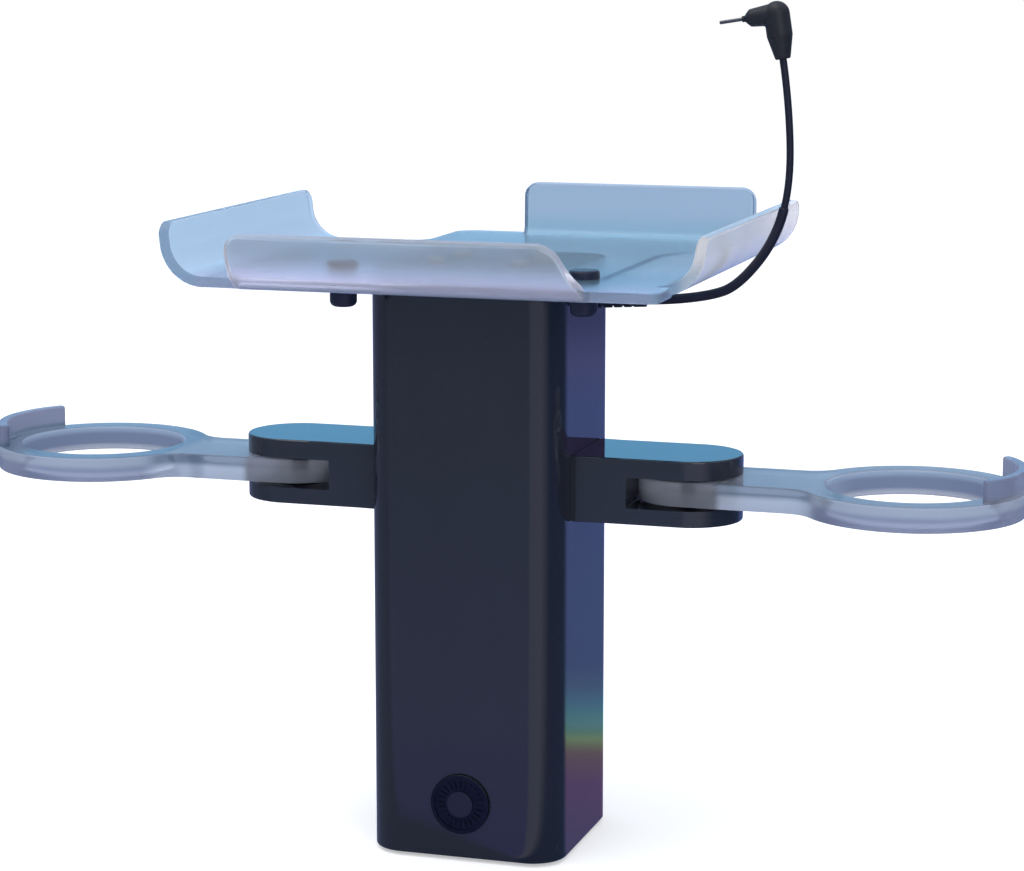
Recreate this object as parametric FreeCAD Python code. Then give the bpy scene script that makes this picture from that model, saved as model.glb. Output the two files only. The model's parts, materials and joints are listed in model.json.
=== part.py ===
import FreeCAD, Part
import math
import os

# Headset stand: a glossy square column on a weighted base carries a bent translucent tray.
# Two clevis brackets on its sides hold clear swivelling arms, each with a ring and a lip
# for a hand controller. A short stiff charging lead leaves the column under the tray.
# Millimetres, +Z up, +X to the right, front face towards -Y.
# The origin is the centre of the footprint, on the surface that the feet rest on.

V = FreeCAD.Vector
X_AXIS = V(1, 0, 0)
Y_AXIS = V(0, 1, 0)
Z_AXIS = V(0, 0, 1)

# Column
COLUMN_SIDE = 80.0
COLUMN_CORNER = 14.0
COLUMN_WALL = 3.0
COLUMN_TOP = 234.0
FOOT_STAND = 1.5          # how far the feet lift the column
EDGE_SOFT = 0.8           # broken edge at the column's foot

# Screw ports in the column's corners
PORT_POS = 30.9
PORT_R = 4.6
PORT_HOLE_R = 1.5
PORT_CLEAR_R = 1.7
PORT_HEAD_R = 2.8

# Base
BASE_THICK = 4.0
PLATE_GAP = 0.15          # clearance of the inset plates in the tube
FOOT_R = 6.0
FOOT_POCKET = 0.8
FOOT_POS = 20.0
BALLAST_SIDE = 48.0
BALLAST_HEIGHT = 34.0
BALLAST_SCREW_POS = 9.0

# Top plate and tray fixing
TOP_THICK = 5.0
TRAY_SCREW_X = 17.0
TRAY_SCREW_Y = 16.0

# Small screws
M4_R = 2.0
M4_HEAD_R = 3.9
M4_HEAD_H = 2.2
M4_CLEAR_R = 2.2
SCREW_GAP = 0.05          # radial gap where a screw's thread is not drawn
PORT_SCREW_LENGTH = 14.0

# Tray: one sheet, bent up on four sides
SHEET = 4.0
TRAY_HALF_X = 104.5
TRAY_HALF_Y = 108.0
LEFT_TOP = 24.5           # flap heights above the sheet's underside
RIGHT_TOP = 22.5
FRONT_TOP = 22.8
REAR_TOP = 26.0
WIDE_BEND = 13.5          # inner bend radius of the wings and the front flap
TIGHT_BEND = 3.0          # inner bend radius of the rear flap
WING_ANGLE = 84.0
FRONT_ANGLE = 78.0
REAR_ANGLE = 88.0
LEFT_WING_Y = (-91.5, 62.0)
RIGHT_WING_Y = (-65.0, 100.0)
FRONT_FLAP_X = (-70.0, 66.0)
FRONT_TAPER = 10.0        # the right end of the front flap slopes inwards by this much
REAR_FLAP_X = (-18.0, 84.0)
FLOOR_FRONT = -91.5
FLOOR_RIGHT = 92.0
NOTCH_X = -49.0           # the open corner at the rear left
NOTCH_Y = 58.0
NOTCH_R = 9.0
FLOOR_CORNER_R = 5.0
FLAP_CORNER_R = 6.0

# Stop screws through the tray's front corners
STOP_POINTS = [(-44.0, -50.0), (53.2, -50.0)]
STOP_R = 2.5
STOP_HEAD_R = 6.0
STOP_HEAD_H = 3.2
STOP_NUT_R = 5.3
STOP_NUT_H = 10.4
STOP_CLEAR_R = 2.7

# Clevis brackets
BRACKET_DEPTH = 42.0
BRACKET_Z0 = 137.7
BRACKET_HEIGHT = 26.4
BRACKET_REACH = 64.0      # from the column's face to the rounded end
SLOT_Z0 = 144.3
SLOT_HEIGHT = 12.2
SLOT_START = 22.2         # solid root before the slot begins
BRACKET_SOFT = 0.9
FIX_Y = 12.0
FIX_R = 2.5
FIX_CLEAR_R = 2.75
FIX_HEAD_R = 4.25
FIX_HEAD_H = 3.0
FIX_DEPTH = 13.0

# Pivot
PIN_R = 3.0
PIN_HEAD_R = 5.0
PIN_HEAD_H = 3.6
PIN_GAP = 0.05
PIN_TIP = 4.5             # how far the pin enters the upper finger
WASHER_R = 9.0
LOWER_WASHER = 1.3
UPPER_WASHER = 0.5
WASHER_GAP = 0.2

# Arms
ARM_THICK = 10.0
ARM_HUB_R = 20.5
RING_X = 171.5
RING_R = 44.0
RING_HOLE_R = 33.5
NECK_BLEND = 14.0
LIP_HEIGHT = 8.8
LIP_THICK = 4.2
LIP_HALF_ANGLE = 38.0
ARM_SOFT = 0.9

# Medallion
MEDAL_R = 12.2
MEDAL_Z = 24.0
MEDAL_THICK = 1.4
MEDAL_RIM = 1.6
MEDAL_HUB_R = 5.4
MEDAL_STEP = 0.5
MEDAL_TICKS = 24
MEDAL_TICK_WIDTH = 0.7

# Charging lead
LEAD_R = 1.45
LEAD_Z = 223.7
LEAD_START = 38.5
GLAND_R = 6.5
GLAND_FLANGE = 2.4
GLAND_BARREL_R = 3.4
GLAND_NUT_R = 5.0
GLAND_NUT_T = 3.0
BOOT_LENGTH = 22.0
BOOT_R0 = 3.6
BOOT_R1 = 2.3
LEAD_GAP = 0.12
SLEEVE_R = 1.95
SLEEVE_TOP = 262.0        # height where the thicker sleeve over the lead ends
LEAD_ROUTE = [
    (LEAD_START, 0.0, LEAD_Z),
    (66.0, 0.0, 223.8),
    (89.6, 0.3, 226.5),
    (101.3, 0.5, 231.1),
    (115.6, 0.6, 249.1),
    (121.5, 0.4, 271.2),
    (120.3, 0.1, 302.6),
    (117.7, 0.0, 319.0),
]

# Angled plug
PLUG_TILT = 9.0           # the plug leans to the left with the lead's end
PLUG_BOOT = 9.0
PLUG_BOOT_R = 3.0
PLUG_NECK_R = 5.0
PLUG_BODY_H = 8.3
PLUG_HEAD_R = 4.5
PLUG_HEAD_REACH = 12.6
PLUG_NOSE_R = 3.3
PLUG_NOSE_TAPER = 1.9
PLUG_PIN_R = 0.7
PLUG_PIN_LENGTH = 9.0
PLUG_COLLAR_R = 1.2
PLUG_COLLAR_T = 1.0

# Supply parts inside the column
BOARD_W = 44.0
BOARD_H = 70.0
BOARD_T = 1.6
BOARD_Z0 = 70.0
BOARD_BACK_GAP = 7.0
COIL = (6.0, 7.0, 20.0)    # radius, height, and distance above the chip
SOCKET = (12.0, 6.0, 7.0) # width, depth, height
SOCKET_UP = 2.0
SPACER_R = 3.0
SPACER_HOLE_R = 1.5
BOARD_SCREW_R = 1.45
BOARD_HEAD_R = 2.6
BOARD_HEAD_H = 1.8
BOARD_INSET = 5.0
CHIP = (16.0, 5.0, 16.0)
INLET_Z = 56.0
INLET_R = 5.5
INLET_FLANGE_R = 7.5
INLET_FLANGE_T = 2.0
INLET_BORE_R = 3.1
INLET_BORE_DEPTH = 9.5
INLET_LENGTH = 16.0
INLET_NUT_T = 2.5

# Worked out from the values above
HALF = COLUMN_SIDE / 2.0
INNER_HALF = HALF - COLUMN_WALL
INNER_CORNER = COLUMN_CORNER - COLUMN_WALL
BASE_TOP = FOOT_STAND + BASE_THICK
TOP_BOTTOM = COLUMN_TOP - TOP_THICK
FLOOR_TOP = COLUMN_TOP + SHEET
BRACKET_Z1 = BRACKET_Z0 + BRACKET_HEIGHT
SLOT_Z1 = SLOT_Z0 + SLOT_HEIGHT
BRACKET_MID = (BRACKET_Z0 + BRACKET_Z1) / 2.0
PIVOT_X = HALF + BRACKET_REACH - BRACKET_DEPTH / 2.0
ARM_Z0 = SLOT_Z0 + LOWER_WASHER + WASHER_GAP
ARM_Z1 = ARM_Z0 + ARM_THICK


def cylinder(radius, height, base, axis=Z_AXIS):
    return Part.makeCylinder(radius, height, base, axis)


def box(x0, x1, y0, y1, z0, z1):
    return Part.makeBox(x1 - x0, y1 - y0, z1 - z0, V(x0, y0, z0))


def edges_along(shape, axis):
    """Straight edges of the shape that run along the axis."""
    found = []
    for edge in shape.Edges:
        if isinstance(edge.Curve, Part.Line) and abs(edge.Curve.Direction.dot(axis)) > 0.999:
            found.append(edge)
    return found


def rounded_block(half_x, half_y, z0, z1, radius):
    block = box(-half_x, half_x, -half_y, half_y, z0, z1)
    return block.makeFillet(radius, edges_along(block, Z_AXIS))


def corners(x, y):
    return [(-x, -y), (x, -y), (x, y), (-x, y)]


def save(node, *solids):
    shape = solids[0] if len(solids) == 1 else Part.makeCompound(list(solids))
    volume = sum(s.Volume for s in shape.Solids)
    print("%-22s solids %d  volume %.1f mm3" % (node, len(shape.Solids), volume))
    shape.exportStep("parts/%s.step" % node)


def flat_screw(x, y, z_face, down, length, radius, head_r):
    """Countersunk screw with its flat face at z_face, pointing down or up."""
    way = -1.0 if down else 1.0
    sink = head_r - radius
    head = Part.makeCone(head_r, radius, sink, V(x, y, z_face), V(0, 0, way))
    shank = cylinder(radius, length, V(x, y, z_face), V(0, 0, way))
    return head.fuse(shank).removeSplitter()


def sink_hole(x, y, z_face, down, depth, radius, head_r):
    way = -1.0 if down else 1.0
    cone = Part.makeCone(head_r, radius, head_r - radius, V(x, y, z_face), V(0, 0, way))
    return cone.fuse(cylinder(radius, depth, V(x, y, z_face), V(0, 0, way)))


# Column

def column_tube():
    tube = rounded_block(HALF, HALF, FOOT_STAND, COLUMN_TOP, COLUMN_CORNER)
    foot_edges = [e for e in tube.Edges if e.BoundBox.ZMax < FOOT_STAND + 0.01]
    tube = tube.makeChamfer(EDGE_SOFT, foot_edges)
    tube = tube.cut(rounded_block(INNER_HALF, INNER_HALF, FOOT_STAND - 1, COLUMN_TOP + 1, INNER_CORNER))
    ports = []
    for x, y in corners(PORT_POS, PORT_POS):
        ports.append(cylinder(PORT_R, TOP_BOTTOM - BASE_TOP, V(x, y, BASE_TOP)))
    inside = rounded_block(HALF - COLUMN_WALL / 2, HALF - COLUMN_WALL / 2, BASE_TOP, TOP_BOTTOM,
                           COLUMN_CORNER - COLUMN_WALL / 2)
    tube = tube.fuse([p.common(inside) for p in ports]).removeSplitter()
    cuts = []
    for x, y in corners(PORT_POS, PORT_POS):
        cuts.append(cylinder(PORT_HOLE_R, PORT_SCREW_LENGTH, V(x, y, BASE_TOP)))
        cuts.append(cylinder(PORT_HOLE_R, PORT_SCREW_LENGTH, V(x, y, TOP_BOTTOM), -Z_AXIS))
    for side in (-1, 1):
        for y in (-FIX_Y, FIX_Y):
            cuts.append(cylinder(FIX_CLEAR_R, COLUMN_WALL + 2, V(side * (INNER_HALF - 1), y, BRACKET_MID),
                                 V(side, 0, 0)))
    cuts.append(cylinder(GLAND_BARREL_R + SCREW_GAP, COLUMN_WALL + 2, V(INNER_HALF - 1, 0, LEAD_Z), X_AXIS))
    cuts.append(cylinder(INLET_R + SCREW_GAP, COLUMN_WALL + 2, V(0, INNER_HALF - 1, INLET_Z), Y_AXIS))
    for x, z in board_points():
        cuts.append(cylinder(SPACER_HOLE_R, COLUMN_WALL / 2, V(x, INNER_HALF, z), Y_AXIS))
    return tube.cut(cuts)


def inset_plate(z0, z1):
    half = INNER_HALF - PLATE_GAP
    return rounded_block(half, half, z0, z1, INNER_CORNER - PLATE_GAP)


def base_plate():
    plate = inset_plate(FOOT_STAND, BASE_TOP)
    cuts = []
    for x, y in corners(PORT_POS, PORT_POS):
        cuts.append(sink_hole(x, y, FOOT_STAND, False, BASE_THICK + 1, PORT_CLEAR_R, PORT_HEAD_R))
    for x, y in corners(FOOT_POS, FOOT_POS):
        cuts.append(cylinder(FOOT_R + SCREW_GAP, FOOT_POCKET, V(x, y, FOOT_STAND)))
    for x in (-BALLAST_SCREW_POS, BALLAST_SCREW_POS):
        cuts.append(sink_hole(x, 0, FOOT_STAND, False, BASE_THICK + 1, M4_CLEAR_R, M4_HEAD_R))
    return plate.cut(cuts)


def base_screws():
    return [flat_screw(x, y, FOOT_STAND, False, PORT_SCREW_LENGTH, PORT_HOLE_R - SCREW_GAP, PORT_HEAD_R)
            for x, y in corners(PORT_POS, PORT_POS)]


def rubber_feet():
    feet = []
    for x, y in corners(FOOT_POS, FOOT_POS):
        foot = cylinder(FOOT_R, FOOT_STAND + FOOT_POCKET, V(x, y, 0))
        rim = [e for e in foot.Edges if e.BoundBox.ZMax < 0.01]
        feet.append(foot.makeFillet(0.5, rim))
    return feet


def ballast_block():
    half = BALLAST_SIDE / 2
    block = box(-half, half, -half, half, BASE_TOP, BASE_TOP + BALLAST_HEIGHT)
    block = block.makeChamfer(1.0, block.Edges)
    for x in (-BALLAST_SCREW_POS, BALLAST_SCREW_POS):
        block = block.cut(cylinder(M4_R + SCREW_GAP, PORT_SCREW_LENGTH, V(x, 0, BASE_TOP)))
    return block


def ballast_screws():
    return [flat_screw(x, 0, FOOT_STAND, False, PORT_SCREW_LENGTH, M4_R, M4_HEAD_R)
            for x in (-BALLAST_SCREW_POS, BALLAST_SCREW_POS)]


def top_plate():
    plate = inset_plate(TOP_BOTTOM, COLUMN_TOP)
    cuts = []
    for x, y in corners(PORT_POS, PORT_POS):
        cuts.append(sink_hole(x, y, COLUMN_TOP, True, TOP_THICK + 1, PORT_CLEAR_R, PORT_HEAD_R))
    for x, y in corners(TRAY_SCREW_X, TRAY_SCREW_Y):
        cuts.append(cylinder(M4_R + SCREW_GAP, TOP_THICK + 2, V(x, y, TOP_BOTTOM - 1)))
    return plate.cut(cuts)


def top_screws():
    return [flat_screw(x, y, COLUMN_TOP, True, PORT_SCREW_LENGTH, PORT_HOLE_R - SCREW_GAP, PORT_HEAD_R)
            for x, y in corners(PORT_POS, PORT_POS)]


# Tray

def bent_section(reach, inner_r, angle, top):
    """Outline of a half sheet from the middle out to a flap, as (out, up) pairs and arcs.

    out runs from 0 to reach, and up is measured from the sheet's underside.
    """
    a = math.radians(angle)
    outer_r = inner_r + SHEET
    rise = top - outer_r * (1 - math.cos(a))
    leg = (rise - SHEET * math.cos(a)) / math.sin(a)
    start = reach - outer_r * math.sin(a) - leg * math.cos(a)
    centre = (start, outer_r)

    def on_arc(radius, turn):
        return (centre[0] + radius * math.sin(turn), centre[1] - radius * math.cos(turn))

    def along(point, length):
        return (point[0] + length * math.cos(a), point[1] + length * math.sin(a))

    outer_end = on_arc(outer_r, a)
    inner_end = on_arc(inner_r, a)
    return {
        "start": start,
        "lines": [((0, 0), (start, 0)), (outer_end, along(outer_end, leg)),
                  (along(outer_end, leg), along(inner_end, leg)), (along(inner_end, leg), inner_end),
                  ((start, SHEET), (0, SHEET)), ((0, SHEET), (0, 0))],
        "arcs": [((start, 0), on_arc(outer_r, a / 2), outer_end),
                 (inner_end, on_arc(inner_r, a / 2), (start, SHEET))],
    }


def bent_sheet(section, place, sweep):
    """Solid of a bent section. place turns (out, up) into a point, and sweep is the width vector."""
    edges = []
    for p, q in section["lines"]:
        edges.append(Part.LineSegment(place(*p), place(*q)).toShape())
    for p, m, q in section["arcs"]:
        edges.append(Part.Arc(place(*p), place(*m), place(*q)).toShape())
    wire = Part.Wire(Part.__sortEdges__(edges))
    return Part.Face(wire).extrude(sweep)


def flap_mask(span, top, taper, along, across, reach):
    """Tall block that trims a flap: its upper corners are rounded and its far end may slope in."""
    low, high = COLUMN_TOP - 1, COLUMN_TOP + top
    profile = [(span[0], low), (span[0], high), (span[1] - taper, high), (span[1], FLOOR_TOP), (span[1], low)]
    points = [along * a + Z_AXIS * z for a, z in profile]
    block = Part.Face(Part.makePolygon(points + points[:1])).extrude(across * reach)
    upper = [e for e in edges_along(block, across) if e.BoundBox.ZMin > high - 0.01]
    return block.makeFillet(FLAP_CORNER_R, upper)


def side_wing(side, span, top):
    section = bent_section(TRAY_HALF_X, WIDE_BEND, WING_ANGLE, top)
    wing = bent_sheet(section, lambda out, up: V(side * out, span[0], COLUMN_TOP + up),
                      V(0, span[1] - span[0], 0))
    return wing.common(flap_mask(span, top, 0.0, Y_AXIS, X_AXIS, side * (TRAY_HALF_X + 5)))


def end_flap(side, span, bend, angle, top, taper):
    section = bent_section(TRAY_HALF_Y, bend, angle, top)
    flap = bent_sheet(section, lambda out, up: V(span[0], side * out, COLUMN_TOP + up),
                      V(span[1] - span[0], 0, 0))
    return flap.common(flap_mask(span, top, taper, X_AXIS, Y_AXIS, side * (TRAY_HALF_Y + 5)))


def tray_floor():
    """Flat middle of the sheet, with the open corner at the rear left."""
    left = -bent_section(TRAY_HALF_X, WIDE_BEND, WING_ANGLE, LEFT_TOP)["start"]
    right = bent_section(TRAY_HALF_X, WIDE_BEND, WING_ANGLE, RIGHT_TOP)["start"]
    z0, z1 = COLUMN_TOP, FLOOR_TOP
    front = box(left, FLOOR_RIGHT, FLOOR_FRONT, RIGHT_WING_Y[0] + FLOOR_CORNER_R, z0, z1)
    front_corner = [e for e in edges_along(front, Z_AXIS)
                    if e.BoundBox.XMin > FLOOR_RIGHT - 0.01 and e.BoundBox.YMax < FLOOR_FRONT + 0.01]
    front = front.makeFillet(FLOOR_CORNER_R, front_corner)
    middle = box(left, right, FLOOR_FRONT, NOTCH_Y, z0, z1)
    rear = box(NOTCH_X, right, 0, TRAY_HALF_Y, z0, z1)
    rear_left = [e for e in edges_along(rear, Z_AXIS)
                 if e.BoundBox.XMax < NOTCH_X + 0.01 and e.BoundBox.YMin > TRAY_HALF_Y - 0.01]
    rear = rear.makeFillet(NOTCH_R, rear_left)
    rear_right = [e for e in edges_along(rear, Z_AXIS)
                  if e.BoundBox.XMin > right - 0.01 and e.BoundBox.YMin > TRAY_HALF_Y - 0.01]
    rear = rear.makeFillet(FLOOR_CORNER_R, rear_right)
    web = box(NOTCH_X - NOTCH_R, NOTCH_X, NOTCH_Y, NOTCH_Y + NOTCH_R, z0, z1)
    web = web.cut(cylinder(NOTCH_R, SHEET + 2, V(NOTCH_X - NOTCH_R, NOTCH_Y + NOTCH_R, z0 - 1)))
    return front.fuse([middle, rear, web]).removeSplitter()


def tray():
    sheet = tray_floor().fuse([
        side_wing(-1, LEFT_WING_Y, LEFT_TOP),
        side_wing(1, RIGHT_WING_Y, RIGHT_TOP),
        end_flap(-1, FRONT_FLAP_X, WIDE_BEND, FRONT_ANGLE, FRONT_TOP, FRONT_TAPER),
        end_flap(1, REAR_FLAP_X, TIGHT_BEND, REAR_ANGLE, REAR_TOP, 0.0),
    ]).removeSplitter()
    cuts = [cylinder(M4_CLEAR_R, SHEET + 2, V(x, y, COLUMN_TOP - 1))
            for x, y in corners(TRAY_SCREW_X, TRAY_SCREW_Y)]
    cuts += [cylinder(STOP_CLEAR_R, SHEET + 2, V(x, y, COLUMN_TOP - 1)) for x, y in STOP_POINTS]
    return sheet.cut(cuts)


def domed_head(x, y, z, radius, height, dome):
    head = cylinder(radius, height, V(x, y, z))
    rim = [e for e in head.Edges if e.BoundBox.ZMin > z + height - 0.01]
    return head.makeFillet(dome, rim)


def tray_screws():
    screws = []
    for x, y in corners(TRAY_SCREW_X, TRAY_SCREW_Y):
        head = domed_head(x, y, FLOOR_TOP, M4_HEAD_R, M4_HEAD_H, 0.9)
        shank = cylinder(M4_R, SHEET + TOP_THICK, V(x, y, FLOOR_TOP), -Z_AXIS)
        socket = Part.makeBox(0.9, M4_HEAD_R, 1.1, V(x - 0.45, y - M4_HEAD_R / 2, FLOOR_TOP + M4_HEAD_H - 1.1))
        cross = Part.makeBox(M4_HEAD_R, 0.9, 1.1, V(x - M4_HEAD_R / 2, y - 0.45, FLOOR_TOP + M4_HEAD_H - 1.1))
        screws.append(head.fuse(shank).cut([socket, cross]))
    return screws


def stop_screws():
    screws = []
    for x, y in STOP_POINTS:
        head = domed_head(x, y, FLOOR_TOP, STOP_HEAD_R, STOP_HEAD_H, 1.2)
        shank = cylinder(STOP_R, SHEET + STOP_NUT_H - 2, V(x, y, FLOOR_TOP), -Z_AXIS)
        screws.append(head.fuse(shank).removeSplitter())
    return screws


def stop_nuts():
    nuts = []
    for x, y in STOP_POINTS:
        nut = cylinder(STOP_NUT_R, STOP_NUT_H, V(x, y, COLUMN_TOP - STOP_NUT_H))
        rim = [e for e in nut.Edges if e.BoundBox.ZMax < COLUMN_TOP - STOP_NUT_H + 0.01]
        nut = nut.makeFillet(2.4, rim)
        nuts.append(nut.cut(cylinder(STOP_R + SCREW_GAP, STOP_NUT_H - 2, V(x, y, COLUMN_TOP), -Z_AXIS)))
    return nuts


# Brackets, made for the right and mirrored for the left

def mirrored(shape, side):
    return shape if side > 0 else shape.mirror(V(0, 0, 0), X_AXIS)


def bracket(side):
    half = BRACKET_DEPTH / 2
    root = box(HALF, PIVOT_X, -half, half, BRACKET_Z0, BRACKET_Z1)
    nose = cylinder(half, BRACKET_HEIGHT, V(PIVOT_X, 0, BRACKET_Z0))
    body = root.fuse(nose).removeSplitter()
    outer = [e for e in body.Edges if e.BoundBox.ZLength < 0.01 and e.BoundBox.XMax > HALF + 0.01]
    body = body.makeFillet(BRACKET_SOFT, outer)
    slot = box(HALF + SLOT_START, HALF + BRACKET_REACH + 1, -half - 1, half + 1, SLOT_Z0, SLOT_Z1)
    inner = [e for e in edges_along(slot, Y_AXIS) if e.BoundBox.XMax < HALF + SLOT_START + 0.01]
    body = body.cut(slot.makeFillet(0.6, inner))
    cuts = [
        cylinder(PIN_HEAD_R + PIN_GAP * 2, PIN_HEAD_H, V(PIVOT_X, 0, BRACKET_Z0)),
        cylinder(PIN_R + PIN_GAP, SLOT_Z1 + PIN_TIP - BRACKET_Z0, V(PIVOT_X, 0, BRACKET_Z0)),
    ]
    cuts += [cylinder(FIX_R + SCREW_GAP, FIX_DEPTH, V(HALF, y, BRACKET_MID), X_AXIS) for y in (-FIX_Y, FIX_Y)]
    return mirrored(body.cut(cuts), side)


def bracket_screws(side):
    screws = []
    for y in (-FIX_Y, FIX_Y):
        head = cylinder(FIX_HEAD_R, FIX_HEAD_H, V(INNER_HALF - FIX_HEAD_H, y, BRACKET_MID), X_AXIS)
        shank = cylinder(FIX_R, COLUMN_WALL + FIX_DEPTH - 1, V(INNER_HALF, y, BRACKET_MID), X_AXIS)
        key = cylinder(2.0, FIX_HEAD_H / 2, V(INNER_HALF - FIX_HEAD_H, y, BRACKET_MID), X_AXIS)
        screws.append(mirrored(head.fuse(shank).cut(key), side))
    return screws


def pivot_pin(side):
    head = cylinder(PIN_HEAD_R, PIN_HEAD_H, V(PIVOT_X, 0, BRACKET_Z0))
    shank = cylinder(PIN_R, SLOT_Z1 + PIN_TIP - BRACKET_Z0, V(PIVOT_X, 0, BRACKET_Z0))
    key = cylinder(2.2, PIN_HEAD_H * 0.6, V(PIVOT_X, 0, BRACKET_Z0))
    return mirrored(head.fuse(shank).cut(key), side)


def pivot_washer(side, z0, thick):
    ring = cylinder(WASHER_R, thick, V(PIVOT_X, 0, z0))
    return mirrored(ring.cut(cylinder(PIN_R + PIN_GAP, thick, V(PIVOT_X, 0, z0))), side)


# Arms

def neck_blends():
    """Webs that blend the arm's straight sides into the ring with a tangent arc."""
    webs = []
    gap = ARM_HUB_R + NECK_BLEND
    centre_x = RING_X - math.sqrt((RING_R + NECK_BLEND) ** 2 - gap ** 2)
    touch_x = RING_X + (centre_x - RING_X) * RING_R / (RING_R + NECK_BLEND)
    touch_y = gap * RING_R / (RING_R + NECK_BLEND)
    for way in (-1, 1):
        web = Part.makePolygon([V(centre_x, 0, ARM_Z0), V(centre_x, way * ARM_HUB_R, ARM_Z0),
                                V(touch_x, way * touch_y, ARM_Z0), V(touch_x + 4, 0, ARM_Z0),
                                V(centre_x, 0, ARM_Z0)])
        corner = Part.Face(web)
        web_solid = corner.extrude(V(0, 0, ARM_THICK))
        webs.append(web_solid.cut(cylinder(NECK_BLEND, ARM_THICK, V(centre_x, way * gap, ARM_Z0))))
    return webs


def arm(side):
    hub = cylinder(ARM_HUB_R, ARM_THICK, V(PIVOT_X, 0, ARM_Z0))
    neck = box(PIVOT_X, RING_X, -ARM_HUB_R, ARM_HUB_R, ARM_Z0, ARM_Z1)
    ring = cylinder(RING_R, ARM_THICK, V(RING_X, 0, ARM_Z0))
    plate = hub.fuse([neck, ring] + neck_blends()).removeSplitter()
    plate = plate.cut(cylinder(RING_HOLE_R, ARM_THICK, V(RING_X, 0, ARM_Z0)))
    lip = cylinder(RING_R, LIP_HEIGHT, V(RING_X, 0, ARM_Z1))
    lip = lip.cut(cylinder(RING_R - LIP_THICK, LIP_HEIGHT, V(RING_X, 0, ARM_Z1)))
    a = math.radians(LIP_HALF_ANGLE)
    far = RING_R * 2
    wedge = Part.Face(Part.makePolygon([V(RING_X, 0, ARM_Z1),
                                        V(RING_X + far * math.cos(a), -far * math.sin(a), ARM_Z1),
                                        V(RING_X + far * math.cos(a), far * math.sin(a), ARM_Z1),
                                        V(RING_X, 0, ARM_Z1)])).extrude(V(0, 0, LIP_HEIGHT))
    body = plate.fuse(lip.common(wedge)).removeSplitter()
    soft = [e for e in body.Edges if e.BoundBox.ZLength < 0.01
            and (e.BoundBox.ZMax < ARM_Z0 + 0.01 or e.BoundBox.ZMin > ARM_Z1 + LIP_HEIGHT - 0.01)]
    body = body.makeFillet(ARM_SOFT, soft)
    bore = cylinder(PIN_R + PIN_GAP, ARM_THICK, V(PIVOT_X, 0, ARM_Z0))
    return mirrored(body.cut(bore), side)


# Medallion

def medallion():
    """Plain round badge: a raised rim, a ring of short bars and a raised hub."""
    face = -HALF
    disc = cylinder(MEDAL_R, MEDAL_THICK, V(0, face, MEDAL_Z), -Y_AXIS)
    rim = [e for e in disc.Edges if e.BoundBox.YMax < face - MEDAL_THICK + 0.01]
    disc = disc.makeFillet(0.4, rim)
    groove = cylinder(MEDAL_R - MEDAL_RIM, MEDAL_STEP, V(0, face - MEDAL_THICK, MEDAL_Z), Y_AXIS)
    groove = groove.cut(cylinder(MEDAL_HUB_R, MEDAL_STEP, V(0, face - MEDAL_THICK, MEDAL_Z), Y_AXIS))
    bars = []
    inner = MEDAL_HUB_R + 1.2
    outer = MEDAL_R - MEDAL_RIM - 1.0
    for i in range(MEDAL_TICKS):
        bar = Part.makeBox(outer - inner, MEDAL_STEP, MEDAL_TICK_WIDTH,
                           V(inner, face - MEDAL_THICK, MEDAL_Z - MEDAL_TICK_WIDTH / 2))
        bar.rotate(V(0, face, MEDAL_Z), Y_AXIS, i * 360.0 / MEDAL_TICKS)
        bars.append(bar)
    return disc.cut(groove).fuse(bars).removeSplitter()


# Charging lead

def lead_path():
    """Straight runs joined by tangent arcs; each arc is as large as its two runs allow."""
    points = [V(*p) for p in LEAD_ROUTE]
    edges = []
    here = points[0]
    for i in range(1, len(points) - 1):
        before = points[i] - points[i - 1]
        after = points[i + 1] - points[i]
        turn = before.getAngle(after)
        reach = 0.45 * min(before.Length, after.Length)
        radius = reach / math.tan(turn / 2)
        print("lead corner %d: turn %.1f deg, radius %.1f mm" % (i, math.degrees(turn), radius))
        before.normalize()
        after.normalize()
        start = points[i] - before * reach
        end = points[i] + after * reach
        inward = after - before
        inward.normalize()
        centre = points[i] + inward * (radius / math.cos(turn / 2))
        middle = centre - inward * radius
        edges.append(Part.LineSegment(here, start).toShape())
        edges.append(Part.Arc(start, middle, end).toShape())
        here = end
    edges.append(Part.LineSegment(here, points[-1]).toShape())
    return Part.Wire(edges)


def swept_tube(path, radius):
    start = V(*LEAD_ROUTE[0])
    circle = Part.Wire(Part.makeCircle(radius, start, V(*LEAD_ROUTE[1]) - start))
    return path.makePipeShell([circle], True, False)


def lead(path):
    tube = swept_tube(path, LEAD_R)
    ratio = tube.Volume / (math.pi * LEAD_R ** 2 * path.Length)
    print("lead length %.1f mm, volume over section times length %.4f" % (path.Length, ratio))
    return tube


def lead_sleeve(path):
    """Thicker sleeve over the lead, from the strain relief up to beside the tray's wing."""
    tube = swept_tube(path, SLEEVE_R).cut(swept_tube(path, LEAD_R + SCREW_GAP))
    start = HALF + GLAND_FLANGE + BOOT_LENGTH
    return tube.common(box(start, start + 100, -20, 20, LEAD_Z - 20, SLEEVE_TOP))


def cable_gland():
    flange = cylinder(GLAND_R, GLAND_FLANGE, V(HALF, 0, LEAD_Z), X_AXIS)
    rim = [e for e in flange.Edges if e.BoundBox.XMin > HALF + GLAND_FLANGE - 0.01]
    flange = flange.makeFillet(0.8, rim)
    barrel = cylinder(GLAND_BARREL_R, COLUMN_WALL + GLAND_NUT_T + 1, V(HALF, 0, LEAD_Z), -X_AXIS)
    body = flange.fuse(barrel).removeSplitter()
    return body.cut(cylinder(LEAD_R + LEAD_GAP, 30, V(HALF - 15, 0, LEAD_Z), X_AXIS))


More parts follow.
